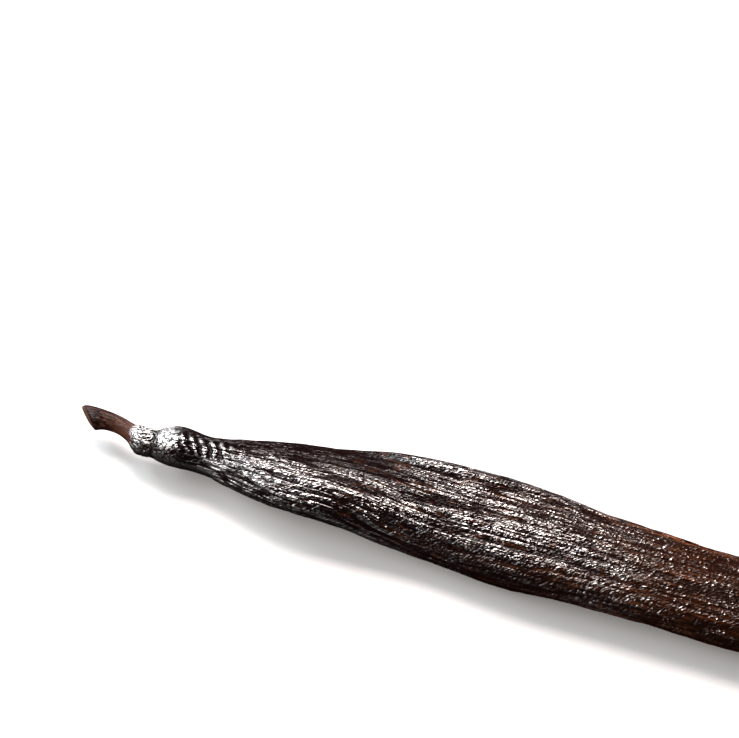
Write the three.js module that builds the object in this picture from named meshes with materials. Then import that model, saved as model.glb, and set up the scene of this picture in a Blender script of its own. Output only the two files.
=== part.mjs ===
// A cured vanilla pod: one solid, from the cut end of its stalk to the blossom tip.
// Millimetres, +Z up. The pod lies along X with its stalk at -X and rests on Z = 0.
import * as THREE from "three";
import { mergeVertices } from "three/addons/utils/BufferGeometryUtils.js";

// Driving dimensions, mm
const POD_LENGTH = 165;
const STALK_LENGTH = 5.6; // bare stalk, up to where it swells into its joint
const JOINT_AT = 7.8;
const CREASE_AT = 8.6; // groove between the stalk's joint and the fruit
const SHOULDER_AT = 11; // blunt swelling that the fruit starts with
const NECK_AT = 14.5; // slimmer stretch behind the shoulder
const WIDEST_AT = 49;
const TIP_START = 146; // from here the pod draws in to its blossom end

const CUT_WIDTH = 2.7; // the stalk flares a little at its cut end
const STALK_WIDTH = 1.95;
const JOINT_WIDTH = 3.3;
const CREASE_WIDTH = 2.9;
const SHOULDER_WIDTH = 4.8;
const NECK_WIDTH = 4.4;
const MAX_WIDTH = 12.4;
const BODY_WIDTH = 10.8; // even stretch beyond the widest place
const TIP_WIDTH = 2.8;
const MAX_THICKNESS = 6.5;
const BODY_THICKNESS = 6.1;

const CUT_SLANT = 1.1; // how far the cut face leans back across the stalk, per mm of width
const CUT_REACH = 4; // stretch of stalk over which the slant dies away
const CUT_ROUNDING = 0.25; // the cut face's edge is rounded off by this much

// Lengthwise folds of the dried skin
const BROAD_FOLDS = 9; // how many run round the pod
const SLIM_FOLDS = 13;
const SLIM_SHARE = 0.35; // how much of a fold's depth comes from the slim ones
const FOLD_DEPTH = 0.26;
const STALK_FOLD_DEPTH = 0.1;
const FOLD_WANDER = 0.3; // radians that a fold drifts round the pod
const FOLD_WANDER_LENGTH = 34;
const RIDGE_DEPTH = 0.36; // one long raised fold near the back edge of the wide part
const RIDGE_ANGLE = 0.6; // radians up from the back edge
const RIDGE_SPREAD = 0.2; // radians
const RIDGE_START = [27, 35]; // it rises over the first stretch and sinks over the last
const RIDGE_END = [48, 60];

// Facets of the solid
const SIDES = 40;
const STEPS = 100;
const HEAD_SHARE = 0.27; // share of the steps spent on the stalk, joint and shoulder
const HEAD_LENGTH = 17;
const END_SHARE = 0.12; // share of the steps spent on the blossom tip
const END_LENGTH = 12;

const POD_COLOR = 0x24130b;
const POD_ROUGHNESS = 0.32;

// Size and place of the cross-section where the form changes: distance from the cut, width,
// thickness, the centre's place across and above the ground, and how many degrees the
// flattened section leans towards its back edge.
const SECTIONS = [
  { at: 0, width: CUT_WIDTH - 2 * CUT_ROUNDING, thickness: 1.9, across: 0.2, up: 2.45, lean: 0 },
  { at: 0.5, width: CUT_WIDTH, thickness: 2.3, across: 0.2, up: 2.45, lean: 0 },
  { at: 1.8, width: 2.3, thickness: 2, across: 0.35, up: 2.6, lean: 0 },
  { at: 3.8, width: STALK_WIDTH, thickness: 1.8, across: 0.35, up: 2.6, lean: 0 },
  { at: STALK_LENGTH, width: 2.1, thickness: 2, across: -0.35, up: 2.65, lean: 0 },
  { at: 6.6, width: 2.9, thickness: 2.6, across: -0.85, up: 2.75, lean: 0 },
  { at: JOINT_AT, width: JOINT_WIDTH, thickness: 2.9, across: -0.95, up: 2.8, lean: 0 },
  { at: CREASE_AT, width: CREASE_WIDTH, thickness: 2.5, across: -0.85, up: 2.85, lean: 0 },
  { at: 9.1, width: 3.9, thickness: 3.3, across: -0.7, up: 2.95, lean: 0 },
  { at: SHOULDER_AT, width: SHOULDER_WIDTH, thickness: 4.4, across: -0.5, up: 3.05, lean: 4 },
  { at: NECK_AT, width: NECK_WIDTH, thickness: 4.2, across: -0.4, up: 2.9, lean: 10 },
  { at: 18.5, width: 6.9, thickness: 4.9, across: -0.2, up: 2.75, lean: 18 },
  { at: 24, width: 10, thickness: 5.5, across: 0.25, up: 2.75, lean: 19 },
  { at: 30, width: 10.6, thickness: 5.8, across: 0.75, up: 2.8, lean: 15 },
  { at: 37, width: 11.2, thickness: 6.3, across: 1.1, up: 3, lean: -5 },
  { at: 42, width: 11.6, thickness: 6.4, across: 1.05, up: 3.05, lean: -9 },
  { at: WIDEST_AT, width: MAX_WIDTH, thickness: MAX_THICKNESS, across: 1, up: 3, lean: -5 },
  { at: 58, width: 11.2, thickness: 6.3, across: 0.85, up: 2.95, lean: 1 },
  { at: 73, width: BODY_WIDTH, thickness: BODY_THICKNESS, across: 0.85, up: 2.85, lean: 3 },
  { at: 96, width: BODY_WIDTH, thickness: BODY_THICKNESS, across: 1.2, up: 2.85, lean: 3 },
  { at: 122, width: 9.5, thickness: 5.6, across: 0.3, up: 2.6, lean: -3 },
  { at: TIP_START, width: 6.6, thickness: 4.6, across: -1.6, up: 2.15, lean: -4 },
  { at: 157, width: 3.9, thickness: 3.3, across: -2.6, up: 1.6, lean: 0 },
  { at: 162.5, width: TIP_WIDTH, thickness: 2.5, across: -2.7, up: 1.35, lean: 0 },
  { at: 164.4, width: 2.2, thickness: 2, across: -2.65, up: 1.3, lean: 0 },
  { at: POD_LENGTH, width: 1.2, thickness: 1.1, across: -2.6, up: 1.3, lean: 0 },
];

const sectionAt = new THREE.CubicInterpolant(
  SECTIONS.map((section) => section.at),
  SECTIONS.flatMap(({ width, thickness, across, up, lean }) => [width, thickness, across, up, lean]),
  5,
);

// Distance from the cut for a share of the facet rows, which stand closer at both ends.
function rowDistance(share) {
  const bodyShare = 1 - HEAD_SHARE - END_SHARE;
  if (share < HEAD_SHARE) return (HEAD_LENGTH * share) / HEAD_SHARE;
  if (share > 1 - END_SHARE) return POD_LENGTH - (END_LENGTH * (1 - share)) / END_SHARE;
  const bodyLength = POD_LENGTH - HEAD_LENGTH - END_LENGTH;
  return HEAD_LENGTH + (bodyLength * (share - HEAD_SHARE)) / bodyShare;
}

// How deep the folds are at a distance from the cut: faint on the stalk and at the very tip.
function foldDepth(at) {
  const onFruit = THREE.MathUtils.smoothstep(at, STALK_LENGTH, SHOULDER_AT);
  const atTip = 1 - THREE.MathUtils.smoothstep(at, TIP_START, POD_LENGTH);
  return THREE.MathUtils.lerp(STALK_FOLD_DEPTH, FOLD_DEPTH, onFruit) * atTip;
}

// Height of the skin above the plain oval, from two sets of folds that drift round the pod
// and from the one long ridge on the back edge.
function foldHeight(at, angle) {
  const wander = FOLD_WANDER * Math.sin(at / FOLD_WANDER_LENGTH);
  const broad = Math.cos(BROAD_FOLDS * (angle + wander));
  const slim = Math.cos(SLIM_FOLDS * (angle - wander));
  const offRidge = (angle - RIDGE_ANGLE) / RIDGE_SPREAD;
  const risen = THREE.MathUtils.smoothstep(at, ...RIDGE_START);
  const sunk = THREE.MathUtils.smoothstep(at, ...RIDGE_END);
  const ridge = RIDGE_DEPTH * Math.exp(-offRidge * offRidge) * risen * (1 - sunk);
  return foldDepth(at) * THREE.MathUtils.lerp(broad, slim, SLIM_SHARE) + ridge;
}

// A point of the pod. reach is 1 on the skin and 0 in the middle of an end face.
// angle 0 is the back edge (+Y) and a quarter turn is the top.
function podPoint(at, angle, reach) {
  const [width, thickness, across, up, leanDegrees] = sectionAt.evaluate(at);
  const fold = foldHeight(at, angle);
  const out = Math.cos(angle) * (width / 2 + fold) * reach;
  const rise = Math.sin(angle) * (thickness / 2 + fold) * reach;
  const lean = THREE.MathUtils.degToRad(leanDegrees);
  const y = across + out * Math.cos(lean) + rise * Math.sin(lean);
  const z = up + rise * Math.cos(lean) - out * Math.sin(lean);
  const nearCut = (1 - Math.min(at / CUT_REACH, 1)) ** 2;
  const x = at - CUT_SLANT * out * nearCut;
  return new THREE.Vector3(x, y, Math.max(0, z));
}

// A closed cylinder of unit size is laid along X and each of its vertices moved to the pod's skin.
function podGeometry() {
  const cylinder = new THREE.CylinderGeometry(1, 1, 1, SIDES, STEPS);
  cylinder.deleteAttribute("normal");
  cylinder.deleteAttribute("uv");
  const geometry = mergeVertices(cylinder);
  const position = geometry.getAttribute("position");
  for (let i = 0; i < position.count; i++) {
    const across = position.getZ(i);
    const up = position.getX(i);
    const at = rowDistance(position.getY(i) + 0.5);
    const point = podPoint(at, Math.atan2(up, across), Math.hypot(across, up));
    position.setXYZ(i, point.x, point.y, point.z);
  }
  geometry.computeBoundingBox();
  const middle = geometry.boundingBox.getCenter(new THREE.Vector3());
  geometry.translate(-middle.x, -middle.y, 0);
  geometry.computeVertexNormals();
  return geometry;
}

const skin = new THREE.MeshStandardMaterial({
  color: POD_COLOR,
  roughness: POD_ROUGHNESS,
  metalness: 0,
});

const pod = new THREE.Mesh(podGeometry(), skin);
pod.name = "pod";

const vanillaPod = new THREE.Group();
vanillaPod.add(pod);

export default vanillaPod;
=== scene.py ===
import bpy
import numpy as np
from math import atan2, cos, pi, radians, sin
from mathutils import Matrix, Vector


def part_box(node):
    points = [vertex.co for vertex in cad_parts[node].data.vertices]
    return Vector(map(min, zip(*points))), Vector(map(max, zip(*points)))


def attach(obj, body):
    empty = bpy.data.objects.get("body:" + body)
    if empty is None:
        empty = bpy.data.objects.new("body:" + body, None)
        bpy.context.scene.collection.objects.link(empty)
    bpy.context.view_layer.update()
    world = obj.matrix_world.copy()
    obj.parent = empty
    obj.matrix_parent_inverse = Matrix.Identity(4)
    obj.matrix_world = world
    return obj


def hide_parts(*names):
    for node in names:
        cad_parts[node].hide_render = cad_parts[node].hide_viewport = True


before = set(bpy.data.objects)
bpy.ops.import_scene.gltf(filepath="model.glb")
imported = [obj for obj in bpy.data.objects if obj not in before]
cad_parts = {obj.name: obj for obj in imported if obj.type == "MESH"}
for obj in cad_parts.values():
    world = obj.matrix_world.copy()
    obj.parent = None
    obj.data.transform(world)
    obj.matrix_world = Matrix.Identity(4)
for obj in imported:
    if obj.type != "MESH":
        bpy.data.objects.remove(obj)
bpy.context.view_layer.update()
bpy.ops.object.select_all(action="DESELECT")

# --- Pod: form ------------------------------------------------------------------------------
# A cured vanilla pod is one closed skin: a thin cut stalk, the swollen joint it snaps at, a
# blunt shoulder, a long flattened body and a drawn-in blossom tip. It is drawn out ring by ring
# from the cut end, closed at both ends and smoothed.
MM = 0.001
POD_LENGTH = 165.0  # mm
RING_SIDES = 28
TOP_CROWDING = 0.35  # how much closer together a ring's points lie on top than underneath
FLANK_SPARING = 0.2  # and how much wider apart they lie at the thin side edges
END_RIM = 0.22 * MM  # width of the bands that hold the edge of an end face
SMOOTHING_LEVELS = 3

# Distance from the cut, width, thickness, the middle's place across and above the ground, mm,
# and how far the flat top leans back, degrees.
SECTIONS = np.array([
    (0.0, 1.8, 1.5, 0.2, 2.45, 0),  # cut end of the stalk
    (0.5, 2.6, 2.2, 0.2, 2.45, 0),
    (1.8, 2.3, 2.0, 0.35, 2.6, 0),
    (3.8, 1.95, 1.8, 0.35, 2.6, 0),
    (5.6, 2.1, 2.0, -0.35, 2.65, 0),
    (6.6, 2.9, 2.6, -0.85, 2.75, 0),  # joint
    (7.8, 3.3, 2.9, -0.95, 2.8, 0),
    (8.6, 2.9, 2.5, -0.85, 2.85, 0),  # crease
    (9.1, 3.9, 3.3, -0.7, 2.95, 0),
    (11.0, 4.8, 4.4, -0.5, 3.05, 4),  # shoulder
    (14.5, 4.4, 4.2, -0.4, 2.9, 10),  # neck
    (18.5, 6.9, 4.9, -0.2, 2.75, 18),
    (24.0, 10.0, 5.5, 0.25, 2.75, 19),
    (30.0, 10.6, 5.8, 0.75, 2.8, 15),
    (37.0, 11.2, 6.3, 1.1, 3.0, -5),
    (42.0, 11.6, 6.4, 1.05, 3.05, -9),
    (49.0, 12.4, 6.5, 1.0, 3.0, -5),  # widest
    (58.0, 11.2, 6.3, 0.85, 2.95, 1),
    (73.0, 10.8, 6.1, 0.85, 2.85, 3),
    (96.0, 10.8, 6.1, 1.2, 2.85, 3),
    (122.0, 9.5, 5.6, 0.3, 2.6, -3),
    (146.0, 6.6, 4.6, -1.6, 2.15, -4),
    (157.0, 3.9, 3.3, -2.6, 1.6, 0),
    (162.5, 2.8, 2.5, -2.7, 1.35, 0),
    (164.4, 2.2, 2.0, -2.65, 1.3, 0),
    (165.0, 1.2, 1.1, -2.6, 1.3, 0),  # blossom tip
])
WIDTH, THICKNESS, ACROSS, UP, LEAN = 1, 2, 3, 4, 5
MIDDLE_ACROSS = 0.95  # the footprint's middle, measured across as the sections are
CUT_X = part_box("pod")[1].x / MM - POD_LENGTH


def size_at(at, which):
    """One size of the cross-section at a distance from the cut, on a smooth curve through the list."""
    known, value = SECTIONS[:, 0], SECTIONS[:, which]
    slope = np.empty(len(known))
    slope[1:-1] = (value[2:] - value[:-2]) / (known[2:] - known[:-2])
    slope[0] = (value[1] - value[0]) / (known[1] - known[0])
    slope[-1] = (value[-1] - value[-2]) / (known[-1] - known[-2])
    i = np.clip(np.searchsorted(known, at, side="right") - 1, 0, len(known) - 2)
    gap = known[i + 1] - known[i]
    t = (at - known[i]) / gap
    from_left = value[i] * (1 + 2 * t) * (1 - t) ** 2 + slope[i] * gap * t * (1 - t) ** 2
    from_right = value[i + 1] * t * t * (3 - 2 * t) - slope[i + 1] * gap * t * t * (1 - t)
    return from_left + from_right


def ring_middle(at):
    """The middle of the cross-section at a distance from the cut, in metres."""
    across = size_at(at, ACROSS) - MIDDLE_ACROSS
    return Vector((CUT_X + at, across, size_at(at, UP))) * MM


def crowded(turn):
    """Moves an even angle round a ring to where that point of the ring is wanted."""
    return turn + TOP_CROWDING * cos(turn) + FLANK_SPARING / 2 * sin(2 * turn)


# Rings by their distance from the cut, mm, close together where the form changes quickly.
STALK_RINGS = [0, 0.15, 0.5, 1.2, 2.4, 4.2, 5.6, 6.4, 7.2, 8.0, 8.5, 8.8, 9.1, 9.8, 10.8]
NECK_RINGS = list(np.linspace(12, 16.8, 5))
BODY_RINGS = list(np.linspace(20, 80, 18)) + list(np.linspace(89, 146, 6))
TIP_RINGS = [150, 154, 157.5, 160.5, 162.8, 164.1, 164.8]
rings = STALK_RINGS + NECK_RINGS + BODY_RINGS + TIP_RINGS

bpy.ops.mesh.primitive_circle_add(vertices=RING_SIDES, radius=1, rotation=(pi / 2, 0, pi / 2))
pod_skin = bpy.context.object
pod_skin.name = "pod_skin"
bpy.ops.object.transform_apply(location=False, rotation=True, scale=True)
for point in pod_skin.data.vertices:
    turn = crowded(atan2(point.co.z, point.co.y))
    point.co = Vector((0, cos(turn), sin(turn)))
bpy.ops.object.mode_set(mode="EDIT")
bpy.ops.mesh.select_mode(type="VERT")
bpy.ops.mesh.select_all(action="SELECT")
bpy.ops.transform.translate(value=ring_middle(0))
first_size = (1, size_at(0, WIDTH) / 2 * MM, size_at(0, THICKNESS) / 2 * MM)
bpy.ops.transform.resize(value=first_size, center_override=ring_middle(0))
for last, at in zip(rings, rings[1:]):
    step = ring_middle(at) - ring_middle(last)
    bpy.ops.mesh.extrude_region_move(TRANSFORM_OT_translate={"value": step})
    wider, thicker = (size_at(at, size) / size_at(last, size) for size in (WIDTH, THICKNESS))
    bpy.ops.transform.resize(value=(1, wider, thicker), center_override=ring_middle(at))

# The last ring is still selected, so the tip is closed first, then the cut end on ring one.
bpy.ops.mesh.edge_face_add()
bpy.ops.mesh.inset(thickness=END_RIM)
bpy.ops.mesh.poke()
bpy.ops.mesh.select_all(action="DESELECT")
bpy.ops.object.mode_set(mode="OBJECT")
for point in pod_skin.data.vertices:
    point.select = point.index < RING_SIDES
bpy.ops.object.mode_set(mode="EDIT")
bpy.ops.mesh.edge_face_add()
bpy.ops.mesh.inset(thickness=END_RIM)
bpy.ops.mesh.inset(thickness=END_RIM)
bpy.ops.mesh.poke()
bpy.ops.mesh.select_all(action="SELECT")
bpy.ops.mesh.normals_make_consistent(inside=False)
bpy.ops.object.mode_set(mode="OBJECT")
smooth = pod_skin.modifiers.new("smooth", "SUBSURF")
smooth.levels = smooth.render_levels = SMOOTHING_LEVELS
bpy.ops.object.modifier_apply(modifier="smooth")
bpy.ops.object.shade_smooth()

# --- Pod: the skin's own coordinates --------------------------------------------------------
# Wrinkles run along the pod and keep their number round it, so every point of the skin knows
# its distance from the cut and its place round the pod. "skin" holds both, in mm, as a smooth
# tube without a seam: (along, round * cos, round * sin).
BODY_ROUND = 4.8  # mm, radius of the unwrinkled body if it were round
ROUND_EVENING = 0.155  # makes equal steps round the flattened section equally long


def skin_places(places):
    """Distance from the cut, angle round the pod, tube radius and depth inside an end face, mm."""
    along = places[:, 0] / MM - CUT_X
    on_skin = np.clip(along, 0, POD_LENGTH)
    half_width, half_thick = size_at(on_skin, WIDTH) / 2, size_at(on_skin, THICKNESS) / 2
    across = places[:, 1] / MM - size_at(on_skin, ACROSS) + MIDDLE_ACROSS
    up = places[:, 2] / MM - size_at(on_skin, UP)
    across_part, up_part = across / half_width, up / half_thick
    turn = np.arctan2(up_part, across_part)
    mean = np.sqrt((half_width**2 + half_thick**2) / 2)
    tube = BODY_ROUND * np.sqrt(mean / BODY_ROUND)
    reach = np.minimum(np.hypot(across_part, up_part), 1)
    return along, turn - ROUND_EVENING * np.sin(2 * turn), tube, (1 - reach) * half_width


places = np.empty(len(pod_skin.data.vertices) * 3)
pod_skin.data.vertices.foreach_get("co", places)
places = places.reshape(-1, 3)
along, turn, tube, inside = skin_places(places)
skin = np.stack([along, tube * np.cos(turn), tube * np.sin(turn)], 1)
skin_data = pod_skin.data.attributes.new("skin", "FLOAT_VECTOR", "POINT").data
skin_data.foreach_set("vector", skin.ravel())

# The UV map is the skin cut open underneath, unrolled and laid out in two strips one over the
# other, with each end's face folded out beyond it.
MAP_LENGTH = 86.0  # mm of pod in each strip
MAP_START = 2.0  # mm kept free ahead of the cut for its face
MAP_MARGIN = 0.012
CUT_FACE, TIP_FACE = 0.01, 0.3  # mm from each end to where its face begins
on_face = (along < CUT_FACE) | (along > POD_LENGTH - TIP_FACE)
folded_out = np.where(on_face, inside, 0)
unrolled = MAP_START + along + np.where(along < POD_LENGTH / 2, -folded_out, folded_out)
corners = np.empty(len(pod_skin.data.loops), dtype=np.int32)
pod_skin.data.loops.foreach_get("vertex_index", corners)
corners = corners.reshape(-1, 4)  # smoothing left only four-sided faces
round_part = (turn[corners] + pi / 2) / (2 * pi) % 1
across_seam = round_part.max(1, keepdims=True) - round_part.min(1, keepdims=True) > 0.5
round_part = np.where(across_seam & (round_part < 0.5), round_part + 1, round_part)
round_part = MAP_MARGIN + round_part * (1 - 4 * MAP_MARGIN)
length_part = unrolled[corners]
strip = length_part.mean(1, keepdims=True) > MAP_LENGTH
length_part = MAP_MARGIN + (length_part - strip * MAP_LENGTH) / MAP_LENGTH * (1 - 2 * MAP_MARGIN)
unrolled_map = np.stack([length_part, (round_part + strip) / 2], 2)
pod_skin.data.uv_layers.new(name="OFBake").data.foreach_set("uv", unrolled_map.ravel())

# The flat body leans back a little, more near the stalk, and the stalk was cut at a slant.
CUT_SLANT = 1.1  # how far the cut leans back across the stalk, per mm of width
CUT_REACH = 4.0  # mm of stalk over which the slant dies away
on_skin = np.clip(along, 0, POD_LENGTH)
out = places[:, 1] / MM - size_at(on_skin, ACROSS) + MIDDLE_ACROSS
rise = places[:, 2] / MM - size_at(on_skin, UP)
lean = np.radians(size_at(on_skin, LEAN))
near_cut = np.clip(1 - on_skin / CUT_REACH, 0, 1) ** 2
places[:, 0] -= CUT_SLANT * out * near_cut * MM
places[:, 1] += (out * (np.cos(lean) - 1) + rise * np.sin(lean)) * MM
places[:, 2] += (rise * (np.cos(lean) - 1) - out * np.sin(lean)) * MM
pod_skin.data.vertices.foreach_set("co", places.ravel())
pod_skin.data.update()

# --- Pod: wrinkles --------------------------------------------------------------------------
# Curing shrinks the flesh, so the skin gathers into broad folds and, on them, long narrow
# wrinkles with rounded backs and sharp furrows between. The joint puckers into knobs and ribs
# cross the neck. All of it is real relief, raised along the skin's normal.


def place(tree, kind, inputs=None, **settings):
    """Adds one node, sets it up and feeds its inputs with numbers or with other nodes' sockets."""
    node = tree.nodes.new(kind)
    for name, value in settings.items():
        setattr(node, name, value)
    for name, value in (inputs or {}).items():
        if isinstance(value, bpy.types.NodeSocket):
            tree.links.new(value, node.inputs[name])
        else:
            node.inputs[name].default_value = value
    return node


def sum_of(tree, operation, *values):
    """One step of arithmetic on numbers or sockets."""
    return place(tree, "ShaderNodeMath", dict(enumerate(values)), operation=operation).outputs[0]


def product(tree, first, *others):
    """All the values multiplied together."""
    for other in others:
        first = sum_of(tree, "MULTIPLY", first, other)
    return first


def added(tree, total, value, share):
    """A running total with a share of one more value on top."""
    return sum_of(tree, "MULTIPLY_ADD", value, share, total)


def held_back(tree, value, *masks):
    """A value turned down wherever a mask is up, to nothing where the mask is 1."""
    for mask in masks:
        value = sum_of(tree, "MULTIPLY", value, sum_of(tree, "SUBTRACT", 1.0, mask))
    return value


def ramp(tree, value, low, high, to_low=0.0, to_high=1.0):
    """Smooth step of a value from one level to another."""
    inputs = {"Value": value, "From Min": low, "From Max": high, "To Min": to_low, "To Max": to_high}
    return place(tree, "ShaderNodeMapRange", inputs, interpolation_type="SMOOTHSTEP").outputs[0]


def stretch_of(tree, value, starts, ends):
    """1 over a stretch of a value, fading in over the first pair and out over the second."""
    return product(tree, ramp(tree, value, *starts), ramp(tree, value, *ends, 1.0, 0.0))


def vector_step(tree, operation, *values, **named):
    """One step of arithmetic on vectors."""
    inputs = {**dict(enumerate(values)), **named}
    return place(tree, "ShaderNodeVectorMath", inputs, operation=operation).outputs[0]


def stretched(tree, skin_socket, length, breadth, offset=0.0):
    """Skin coordinates counted in pattern cells of this length along and breadth round the pod."""
    scaled = vector_step(tree, "MULTIPLY", skin_socket, (1 / length, 1 / breadth, 1 / breadth))
    return vector_step(tree, "ADD", scaled, (offset, offset, offset))


def twisted(tree, skin_socket, slant):
    """Skin coordinates wound round the pod, so that what runs along it runs at this slant instead."""
    along_socket = place(tree, "ShaderNodeSeparateXYZ", {0: skin_socket}).outputs[0]
    inputs = {"Vector": skin_socket, "Angle": product(tree, along_socket, slant / BODY_ROUND)}
    return place(tree, "ShaderNodeVectorRotate", inputs, rotation_type="X_AXIS").outputs[0]


def noise(tree, vector, detail=1.0):
    """Soft cloudy variation: its node, for the value or the colour."""
    return place(tree, "ShaderNodeTexNoise", {"Vector": vector, "Scale": 1.0, "Detail": detail})


def cloudy(tree, skin_socket, length, breadth, offset=0.0, detail=1.0):
    """Soft patches of this length along and breadth round the pod, mostly between 0.3 and 0.7."""
    return noise(tree, stretched(tree, skin_socket, length, breadth, offset), detail).outputs[0]


def ridges(tree, skin_socket, length, breadth, offset, softness, drift=None, slant=0.0):
    """Rounded backs parted by sharp furrows: 0 in a furrow and 1 on a back.

    The backs are about length by breadth mm, lie at a slant, and wander sideways by drift's
    third value, in cells, over patches of its first two values, mm.
    """
    laid = twisted(tree, skin_socket, slant) if slant else skin_socket
    cells_at = stretched(tree, laid, length, breadth, offset)
    if drift:
        patch_length, patch_breadth, amount = drift
        wander = noise(tree, stretched(tree, skin_socket, patch_length, patch_breadth)).outputs["Color"]
        wander = vector_step(tree, "SUBTRACT", wander, (0.5, 0.5, 0.5))
        cells_at = vector_step(tree, "ADD", cells_at, vector_step(tree, "SCALE", wander, Scale=amount))
    cells = place(tree, "ShaderNodeTexVoronoi", {"Vector": cells_at, "Scale": 1.0},
                  feature="DISTANCE_TO_EDGE")
    return ramp(tree, cells.outputs["Distance"], 0.0, softness)


wrinkled = bpy.data.node_groups.new("wrinkled_skin", "GeometryNodeTree")
wrinkled.interface.new_socket("Geometry", in_out="INPUT", socket_type="NodeSocketGeometry")
wrinkled.interface.new_socket("Geometry", in_out="OUTPUT", socket_type="NodeSocketGeometry")
incoming = place(wrinkled, "NodeGroupInput")
outgoing = place(wrinkled, "NodeGroupOutput")
skin_in = place(wrinkled, "GeometryNodeInputNamedAttribute", {"Name": "skin"}, data_type="FLOAT_VECTOR")
skin_in = skin_in.outputs["Attribute"]
parts_in = place(wrinkled, "ShaderNodeSeparateXYZ", {0: skin_in})
along_in = parts_in.outputs[0]
turn_in = sum_of(wrinkled, "ARCTAN2", parts_in.outputs[2], parts_in.outputs[1])

# Long raised folds: angle up from the back edge and spread in radians, height in mm, and the
# stretches over which each rises and sinks again, mm from the cut.
LONG_FOLDS = [
    (0.58, 0.17, 0.42, (27, 35), (48, 60)),
    (0.92, 0.12, -0.16, (28, 35), (46, 58)),
    (1.50, 0.28, 0.22, (32, 40), (50, 70)),
    (2.25, 0.30, 0.22, (12, 19), (34, 60)),
    (2.65, 0.24, 0.18, (40, 52), (90, 120)),
    (0.95, 0.28, 0.24, (66, 84), (118, 146)),
    (1.95, 0.30, 0.22, (82, 100), (120, 150)),
]
height = 0.0
for angle, spread, rises, start, end in LONG_FOLDS:
    off = sum_of(wrinkled, "DIVIDE", sum_of(wrinkled, "SUBTRACT", turn_in, angle), spread)
    squared = product(wrinkled, off, off, -1.0)
    bell = product(wrinkled, sum_of(wrinkled, "EXPONENT", squared), rises)
    height = added(wrinkled, height, bell, stretch_of(wrinkled, along_in, start, end))

# The wrinkled skin starts at the shoulder and calms down at the tip. It sits a little inside the
# smooth form, and lumps, folds and ever finer wrinkles rise from it.
WRINKLES_START = (10.5, 15.0)  # mm from the cut
WRINKLES_CALM = (155, 166, 1.0, 0.2)  # the same, then their strength before and after
SUNK = -0.28  # mm
LUMP_HEIGHT, FOLD_HEIGHT, WRINKLE_HEIGHT, FINE_HEIGHT = 0.24, 0.1, 0.08, 0.045  # mm
lumps = cloudy(wrinkled, skin_in, length=12, breadth=5, offset=3.0)
folds = ridges(wrinkled, skin_in, length=24, breadth=1.5, offset=0.0, softness=0.34, drift=(14, 5, 0.8))
wrinkles = ridges(wrinkled, skin_in, length=10, breadth=0.7, offset=7.0, softness=0.26, drift=(8, 2.5, 0.6))
fine = ridges(wrinkled, skin_in, length=4.0, breadth=0.38, offset=17.0, softness=0.36, drift=(4, 1.2, 0.6))
small = added(wrinkled, SUNK, lumps, LUMP_HEIGHT)
small = added(wrinkled, small, folds, FOLD_HEIGHT)
small = added(wrinkled, small, wrinkles, WRINKLE_HEIGHT)
small = added(wrinkled, small, fine, FINE_HEIGHT)
strength = product(wrinkled, ramp(wrinkled, along_in, *WRINKLES_START),
                   ramp(wrinkled, along_in, *WRINKLES_CALM))
height = added(wrinkled, height, small, strength)

# The joint puckers into knobs between the stalk and the shoulder.
PUCKERED = ((5.6, 6.6), (8.6, 9.2))  # mm from the cut
PUCKER_HEIGHT = 0.15  # mm
pucker = ridges(wrinkled, skin_in, length=1.3, breadth=1.0, offset=2.0, softness=0.3)
height = added(wrinkled, height, pucker,
               product(wrinkled, stretch_of(wrinkled, along_in, *PUCKERED), PUCKER_HEIGHT))

# Slanting ribs cross the neck's upper side.
RIB_PITCH = 1.1  # mm
RIB_LEAN = 0.5  # how far a rib runs along the pod for each mm round it
RIB_DRIFT = 0.9  # mm, how far a rib strays
RIB_HEIGHT = 0.24  # mm
NECK_ROUND = 2.6  # mm, radius of the neck
RIBBED = ((10.8, 12.0), (16, 20))  # mm from the cut
RIBS_ROUND = ((0.9, 1.5), (2.3, 2.75))  # radians up from the back edge
RIB_BACKS = (-0.8, 0.5)  # levels of the ribs' wave at the foot and at the top of a back
# Where a rib furrow lowers "back", the colour there also gets darker: painted shade.
RIB_FURROWS = (-0.8, 0.0, 0.95, 0.0)  # levels of the wave, then how black the furrow is there
stray = cloudy(wrinkled, skin_in, length=2.2, breadth=1.6, offset=4.0)
rib_place = added(wrinkled, along_in, turn_in, -RIB_LEAN * NECK_ROUND)
rib_place = added(wrinkled, rib_place, stray, RIB_DRIFT)
ribs = sum_of(wrinkled, "SINE", product(wrinkled, rib_place, 2 * pi / RIB_PITCH))
ribbed = product(wrinkled, stretch_of(wrinkled, along_in, *RIBBED),
                 stretch_of(wrinkled, turn_in, *RIBS_ROUND))
rib_backs = ramp(wrinkled, ribs, *RIB_BACKS)
height = added(wrinkled, height, rib_backs, product(wrinkled, ribbed, RIB_HEIGHT))

# "back" tells the finish where a wrinkle's back is, 1, and where a furrow is, 0. The smooth
# stalk and joint count as backs.
FOLD_TONE, WRINKLE_TONE, FINE_TONE = 0.35, 0.4, 0.25
SMOOTH_TONE = (10.5, 13.0, 0.8, 0.0)  # mm from the cut, then the tone before and after
tone = product(wrinkled, folds, FOLD_TONE)
tone = added(wrinkled, tone, wrinkles, WRINKLE_TONE)
tone = added(wrinkled, tone, fine, FINE_TONE)
tone = sum_of(wrinkled, "MAXIMUM", tone, ramp(wrinkled, along_in, *SMOOTH_TONE))
tone = held_back(wrinkled, tone, product(wrinkled, ramp(wrinkled, ribs, *RIB_FURROWS), ribbed))

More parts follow.
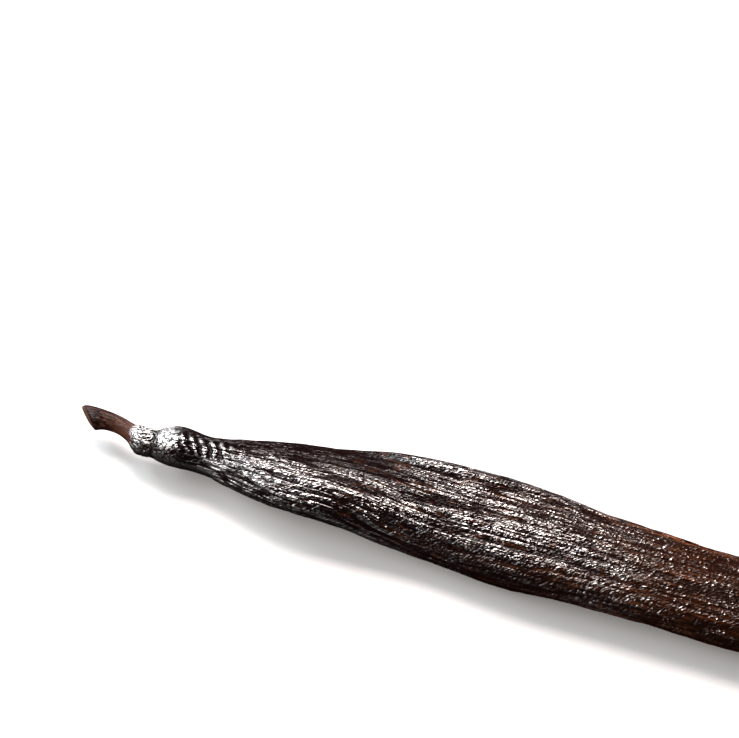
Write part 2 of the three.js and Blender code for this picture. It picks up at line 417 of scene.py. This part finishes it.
LOWEST = (-1, -1, 0)  # metres: only the height is held, at the ground
normal = place(wrinkled, "GeometryNodeInputNormal").outputs[0]
offset = vector_step(wrinkled, "SCALE", normal, Scale=product(wrinkled, height, MM))
position = place(wrinkled, "GeometryNodeInputPosition").outputs[0]
raised_to = vector_step(wrinkled, "MAXIMUM", vector_step(wrinkled, "ADD", position, offset), LOWEST)
toned = place(wrinkled, "GeometryNodeStoreNamedAttribute",
              {"Geometry": incoming.outputs[0], "Name": "back", "Value": tone},
              data_type="FLOAT", domain="POINT")
raised = place(wrinkled, "GeometryNodeSetPosition", {"Geometry": toned.outputs[0], "Position": raised_to})
wrinkled.links.new(raised.outputs[0], outgoing.inputs[0])
relief = pod_skin.modifiers.new("relief", "NODES")
relief.node_group = wrinkled
bpy.ops.object.modifier_apply(modifier="relief")

# --- Pod: finish ----------------------------------------------------------------------------
# Curing turns the skin near-black and sweats oil onto it, which gleams on the wrinkles' backs
# and leaves the furrows dull. Away from the stalk the skin is browner and its finest relief
# coarser, and the stalk is dry brown fibre.


def mixed(tree, factor, low, high):
    """A colour between two others."""
    return place(tree, "ShaderNodeMix", {0: factor, 6: low, 7: high}, data_type="RGBA").outputs[2]


cured_skin = bpy.data.materials.new("cured_skin")
cured_skin.use_nodes = True
tree = cured_skin.node_tree
tree.nodes.clear()
skin_at = place(tree, "ShaderNodeAttribute", attribute_name="skin").outputs["Vector"]
back = place(tree, "ShaderNodeAttribute", attribute_name="back").outputs["Fac"]
parts_at = place(tree, "ShaderNodeSeparateXYZ", {0: skin_at})
along_at = parts_at.outputs[0]
turn_at = sum_of(tree, "ARCTAN2", parts_at.outputs[2], parts_at.outputs[1])
upward = sum_of(tree, "SINE", turn_at)
backward = sum_of(tree, "COSINE", turn_at)

# From here to the shine, pairs and fours are mm from the cut unless they say otherwise, and a
# four also gives the value before and after that stretch.

# The finest relief: threads along the body, slanting grains on them, lenses and cross ripples
# that grow away from the stalk, a maze of grooves on the joint and shoulder, and the stalk's
# fibres. Heights in mm.
PAST_NECK = (14, 19)
MAZED = ((5.6, 6.4), (12.5, 17))
FRUIT_STARTS = (5.4, 6.8)
THREAD_HEIGHT = (46, 66, 0.034, 0.02)
GRAIN_HEIGHT = (45, 62, 0.022, 0.03)
LENS_HEIGHT = (16, 64, 0.01, 0.034)
RIPPLE_HEIGHT = (30, 66, 0.003, 0.042)
MAZE_HEIGHT = 0.045
FIBRE_HEIGHT = 0.18
thread = ridges(tree, skin_at, length=3.6, breadth=0.28, offset=5.0, softness=0.3, drift=(4, 1.5, 0.7))
grain = ridges(tree, skin_at, length=1.0, breadth=0.38, offset=11.0, softness=0.34,
               drift=(1.5, 1.0, 0.9), slant=0.75)
lens = ridges(tree, skin_at, length=1.2, breadth=0.36, offset=3.0, softness=0.36,
              drift=(3, 2, 1.0), slant=0.4)
ripple = ridges(tree, skin_at, length=0.62, breadth=0.95, offset=8.0, softness=0.4,
                drift=(2.2, 1.6, 1.6), slant=1.2)
maze = ridges(tree, skin_at, length=0.95, breadth=0.6, offset=1.0, softness=0.13, drift=(0.9, 0.9, 1.3))
fibre = cloudy(tree, skin_at, length=2.0, breadth=0.6, offset=9.0, detail=2.0)
past_neck = ramp(tree, along_at, *PAST_NECK)
mazed = stretch_of(tree, along_at, *MAZED)
on_fruit = ramp(tree, along_at, *FRUIT_STARTS)
surface = product(tree, thread, past_neck, ramp(tree, along_at, *THREAD_HEIGHT))
surface = added(tree, surface, grain, product(tree, past_neck, ramp(tree, along_at, *GRAIN_HEIGHT)))
surface = added(tree, surface, lens, ramp(tree, along_at, *LENS_HEIGHT))
surface = added(tree, surface, ripple, ramp(tree, along_at, *RIPPLE_HEIGHT))
surface = added(tree, surface, maze, product(tree, mazed, MAZE_HEIGHT))
surface = added(tree, surface, fibre, held_back(tree, FIBRE_HEIGHT, on_fruit))
bump = place(tree, "ShaderNodeBump", {"Height": surface, "Strength": 1.0, "Distance": MM}).outputs[0]

# The oil lies on the backs and not in the furrows, of the wrinkles and of the finest relief.
# The furrow fours run from a pattern's level at a furrow's bottom to its edge.
BACK_RISES = (0.15, 0.5)  # levels of "back"
OIL_IN_FURROWS = (42, 70, 0.035, 0.16)
THREADED = (46, 66, 1.0, 0.45)
THREAD_FURROW = (0.0, 0.5, 0.75, 0.0)
GRAIN_FURROW = (0.0, 0.6, 0.85, 0.0)
MAZE_FURROW = (0.0, 0.6, 0.9, 0.0)
threaded = product(tree, past_neck, ramp(tree, along_at, *THREADED))
# on_back also sets how much brown the colour keeps, so it paints shade into the furrows.
on_back = ramp(tree, back, *BACK_RISES, ramp(tree, along_at, *OIL_IN_FURROWS), 1.0)
on_back = held_back(tree, on_back,
                    product(tree, ramp(tree, thread, *THREAD_FURROW), threaded),
                    product(tree, ramp(tree, grain, *GRAIN_FURROW), past_neck),
                    product(tree, ramp(tree, maze, *MAZE_FURROW), mazed))

# Colour: near-black, then red-brown in long blotches away from the stalk, and faint chestnut flecks.
# Painted shade makes the furrows blacker; painted chestnut highlights lie on the highest backs and along the
# far edge.
NEAR_BLACK = (0.0015, 0.0006, 0.0006, 1)
RED_BROWN = (0.0078, 0.0021, 0.0006, 1)
# Chestnut is the flecks' own colour and also that of the painted highlights.
CHESTNUT = (0.055, 0.017, 0.0055, 1)
BLOTCHES = 0.6  # how strongly the blotches vary the brown
BROWN_GROWS = (30, 78, 0.03, 0.34)
BROWN_FADES = (80, 110, 0.0, 0.16)
BROWN_SHOWS = (0.34, 0.66)  # levels of browner
# the furrows keep less brown and go blacker: painted shade
BROWN_SHARE_WITH_FURROW_SHADE = (0.0, 0.6, 0.25, 1.0)  # levels of on_back, then the share of brown
HIGH_BACKS = (0.6, 0.95)  # levels of "back"
CHESTNUT_SHOWS = (0.46, 0.78, 0.0, 0.7)  # levels of browner, then the share of chestnut
FLECKED = ((22, 34), (90, 120))
FLECKS = (0.56, 0.72, 0.0, 0.16)  # levels of the pattern, then the share of chestnut
# Painted highlight: a chestnut glint on the thread tops along the far upper edge.
FAR_EDGE = ((52, 62), (80, 105))
FAR_EDGE_ROUND = ((0.2, 0.36), (0.45, 0.68))  # radians up from the back edge
FAR_EDGE_THREADS = (0.3, 0.8, 0.0, 0.75)  # levels of thread, then the share of chestnut
blotch = cloudy(tree, skin_at, length=14, breadth=3.0, detail=2.0)
browner = added(tree, ramp(tree, along_at, *BROWN_GROWS), blotch, BLOTCHES)
browner = sum_of(tree, "SUBTRACT", browner, ramp(tree, along_at, *BROWN_FADES))
# Real brown blotches, with painted shade taking the brown out of the furrows.
brown_and_furrow_shade = product(tree, ramp(tree, browner, *BROWN_SHOWS), ramp(tree, on_back, *BROWN_SHARE_WITH_FURROW_SHADE))
skin_tint = mixed(tree, brown_and_furrow_shade, NEAR_BLACK, RED_BROWN)
# Painted highlight: chestnut on the highest backs, where the wrinkles catch the light.
painted_back_highlight = product(tree, ramp(tree, back, *HIGH_BACKS), ramp(tree, browner, *CHESTNUT_SHOWS))
skin_tint = mixed(tree, painted_back_highlight, skin_tint, CHESTNUT)
fleck = cloudy(tree, skin_at, length=2.0, breadth=0.4, offset=21.0)
flecked = product(tree, ramp(tree, fleck, *FLECKS), stretch_of(tree, along_at, *FLECKED))
skin_tint = mixed(tree, flecked, skin_tint, CHESTNUT)
# Painted highlight along the far edge.
painted_far_edge_glint = product(tree, stretch_of(tree, along_at, *FAR_EDGE),
                   stretch_of(tree, turn_at, *FAR_EDGE_ROUND),
                   ramp(tree, thread, *FAR_EDGE_THREADS))
skin_tint = mixed(tree, painted_far_edge_glint, skin_tint, CHESTNUT)

# The stalk: brown fibres, darker and stained towards its end, and a tan cut face.
STALK_DARK = (0.008, 0.004, 0.003, 1)
STALK_BROWN = (0.024, 0.0095, 0.006, 1)
CUT_TAN = (0.03, 0.015, 0.01, 1)
END_DARKER = (0.3, 3.0, -0.26, 0.0)
FIBRES_SHOW = (0.33, 0.57)  # levels of fibre
STAINS = (0.42, 0.58, 0.0, 0.85)  # levels of the pattern, then the share of stain
STAINED = (2.2, 4.5, 1.0, 0.25)
CUT_EDGE = (0.02, 0.3)
fibre_tone = sum_of(tree, "ADD", fibre, ramp(tree, along_at, *END_DARKER))
stalk_tint = mixed(tree, ramp(tree, fibre_tone, *FIBRES_SHOW), STALK_DARK, STALK_BROWN)
stain = cloudy(tree, skin_at, length=1.1, breadth=0.8, offset=14.0)
stained = product(tree, ramp(tree, stain, *STAINS), ramp(tree, along_at, *STAINED))
stalk_tint = mixed(tree, stained, stalk_tint, NEAR_BLACK)
stalk_tint = mixed(tree, ramp(tree, along_at, *CUT_EDGE), CUT_TAN, stalk_tint)
tint = mixed(tree, on_fruit, stalk_tint, skin_tint)

# Shine: how thick the oil is. The stalk is dry, the crease behind the joint holds little, and
# so do the strip along the body's far upper side, the joint's near side and the near flank.
# Away from the stalk the oil breaks up into glints on the ripples, a little less so near the tip.
STALK_DRY = (5.5, 6.4, 0.02, 1.0)
CREASE = ((8.3, 8.65), (8.85, 9.2))
CREASE_DULLING = 0.8
JOINT_DULL = (13, 18, 1.0, 0.0)
JOINT_SIDE = (-0.85, -0.45, 0.85, 0.0)  # levels of backward, then the dulling
BACK_STRIP = ((9.5, 11.5), (33, 43))
BACK_STRIP_ROUND = ((0.0, 0.4), (1.47, 1.93))  # radians up from the back edge
BACK_STRIP_DULLING = 0.92
FLANK = ((32, 42), (54, 62))
FLANK_SIDE = (-0.9, -0.5, 0.88, 0.0)  # levels of backward, then the dulling
FACES_UP = (-0.2, 0.4)  # levels of upward
OIL_BELOW, OIL_ON_TOP = 0.25, 1.0  # what keeps its oil underneath and on top
BROKEN_UP = (50, 66)
MENDS = (80, 105, 0.0, 0.3)
RIPPLE_TOPS = (0.3, 0.8)  # levels of ripple
LENS_TOPS = (0.2, 0.7, 0.25, 1.0)  # levels of lens, then the share of glint
GLINT_GAIN, GLINT_LOSS, FULL_SHINE = 1.1, -0.985, 1.05
crease = product(tree, stretch_of(tree, along_at, *CREASE), CREASE_DULLING)
dull_joint = product(tree, ramp(tree, backward, *JOINT_SIDE), ramp(tree, along_at, *JOINT_DULL))
dull_flank = product(tree, ramp(tree, backward, *FLANK_SIDE), stretch_of(tree, along_at, *FLANK))
dull_strip = product(tree, stretch_of(tree, turn_at, *BACK_STRIP_ROUND),
                     stretch_of(tree, along_at, *BACK_STRIP), BACK_STRIP_DULLING)
glints = product(tree, ramp(tree, ripple, *RIPPLE_TOPS), ramp(tree, lens, *LENS_TOPS))
glints = added(tree, GLINT_LOSS, glints, GLINT_GAIN)
broken = sum_of(tree, "SUBTRACT", ramp(tree, along_at, *BROKEN_UP), ramp(tree, along_at, *MENDS))
shine = product(tree, on_back, ramp(tree, along_at, *STALK_DRY),
                added(tree, FULL_SHINE, glints, broken),
                ramp(tree, upward, *FACES_UP, OIL_BELOW, OIL_ON_TOP))
shine = held_back(tree, shine, crease, dull_joint, dull_flank, dull_strip)

DRY_ROUGHNESS, OILED_SMOOTHER = 0.68, -0.35
shader = place(tree, "ShaderNodeBsdfPrincipled", {
    "Base Color": tint,
    "Roughness": added(tree, DRY_ROUGHNESS, shine, OILED_SMOOTHER),
    "Normal": bump,
    "Specular IOR Level": 0.0,
    "Coat Weight": shine,
    "Coat IOR": 2.15,
    "Coat Roughness": 0.09,
    "Coat Normal": bump,
})
surface_out = place(tree, "ShaderNodeOutputMaterial")
tree.links.new(shader.outputs[0], surface_out.inputs[0])
pod_skin.data.materials.append(cured_skin)

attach(pod_skin, "root")
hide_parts("pod")

# --- Floor, light and camera ----------------------------------------------------------------
# A plain pale floor under four soft lamps. The two behind the pod and the one at its stalk end
# make the gleam on its upper side, and the one in front lifts its near flank.
FLOOR_SIZE = 4.0  # m
FLOOR_GREY = (0.22, 0.22, 0.22, 1)
FLOOR_ROUGHNESS = 0.8
bpy.ops.mesh.primitive_plane_add(size=FLOOR_SIZE)
floor = bpy.context.object
floor.name = "floor"
pale = bpy.data.materials.new("pale_floor")
pale.use_nodes = True
pale.node_tree.nodes["Principled BSDF"].inputs["Base Color"].default_value = FLOOR_GREY
pale.node_tree.nodes["Principled BSDF"].inputs["Roughness"].default_value = FLOOR_ROUGHNESS
floor.data.materials.append(pale)

SEEN_ALONG, SEEN_ACROSS, SEEN_UP = 27.3, 16.05, 3.0  # mm, the middle of the view
SEEN_MIDDLE = Vector((CUT_X + SEEN_ALONG, SEEN_ACROSS - MIDDLE_ACROSS, SEEN_UP)) * MM
LAMP_DISTANCE = 0.9  # m


def direction(azimuth, elevation):
    """Which way a place lies from the pod, with angles in degrees and azimuth 0 in front."""
    a, e = radians(azimuth), radians(elevation)
    return Vector((sin(a) * cos(e), -cos(a) * cos(e), sin(e)))


def aimed(item, azimuth, elevation, distance):
    """Stands a lamp or camera off the pod and points it at the middle of the view."""
    bpy.context.scene.collection.objects.link(item)
    item.location = SEEN_MIDDLE + direction(azimuth, elevation) * distance
    item.rotation_euler = direction(azimuth, elevation).to_track_quat("Z", "Y").to_euler()


def softbox(name, azimuth, elevation, wide, high, watts, colour):
    """A soft rectangular lamp, its sides in metres."""
    light = bpy.data.lights.new(name, "AREA")
    light.shape = "RECTANGLE"
    light.size, light.size_y = wide, high
    light.energy = watts
    light.color = colour
    aimed(bpy.data.objects.new(name, light), azimuth, elevation, LAMP_DISTANCE)


softbox("window", azimuth=197, elevation=52, wide=0.52, high=0.38, watts=39.0, colour=(1.0, 0.87, 0.81))
softbox("left_window", azimuth=236, elevation=33, wide=0.66, high=0.46, watts=40.0, colour=(0.91, 0.95, 1.0))
softbox("side_window", azimuth=276, elevation=44, wide=0.34, high=0.44, watts=9.0, colour=(0.97, 0.985, 1.0))
softbox("front_window", azimuth=314, elevation=38, wide=0.36, high=0.60, watts=17.0, colour=(1.0, 0.95, 0.9))

ROOM_COLOUR = (0.9, 0.92, 1.0, 1)
ROOM_LIGHT = 0.03
world = bpy.data.worlds.new("room")
bpy.context.scene.world = world
world.use_nodes = True
world.node_tree.nodes["Background"].inputs["Color"].default_value = ROOM_COLOUR
world.node_tree.nodes["Background"].inputs["Strength"].default_value = ROOM_LIGHT

VIEW_AZIMUTH, VIEW_ELEVATION = 19.3, 55  # degrees
LENS = 100.0  # mm
SENSOR = 36.0  # mm
SEEN_WIDTH = 82.0 * MM  # how much the view takes in at the pod
NEAREST_SEEN = 0.01  # m
camera = bpy.data.objects.new("camera", bpy.data.cameras.new("camera"))
camera.data.lens = LENS
camera.data.sensor_width = SENSOR
camera.data.clip_start = NEAREST_SEEN
aimed(camera, VIEW_AZIMUTH, VIEW_ELEVATION, SEEN_WIDTH * LENS / SENSOR)
bpy.context.scene.camera = camera
bpy.context.scene.view_settings.view_transform = "Standard"
bpy.context.scene.view_settings.look = "None"
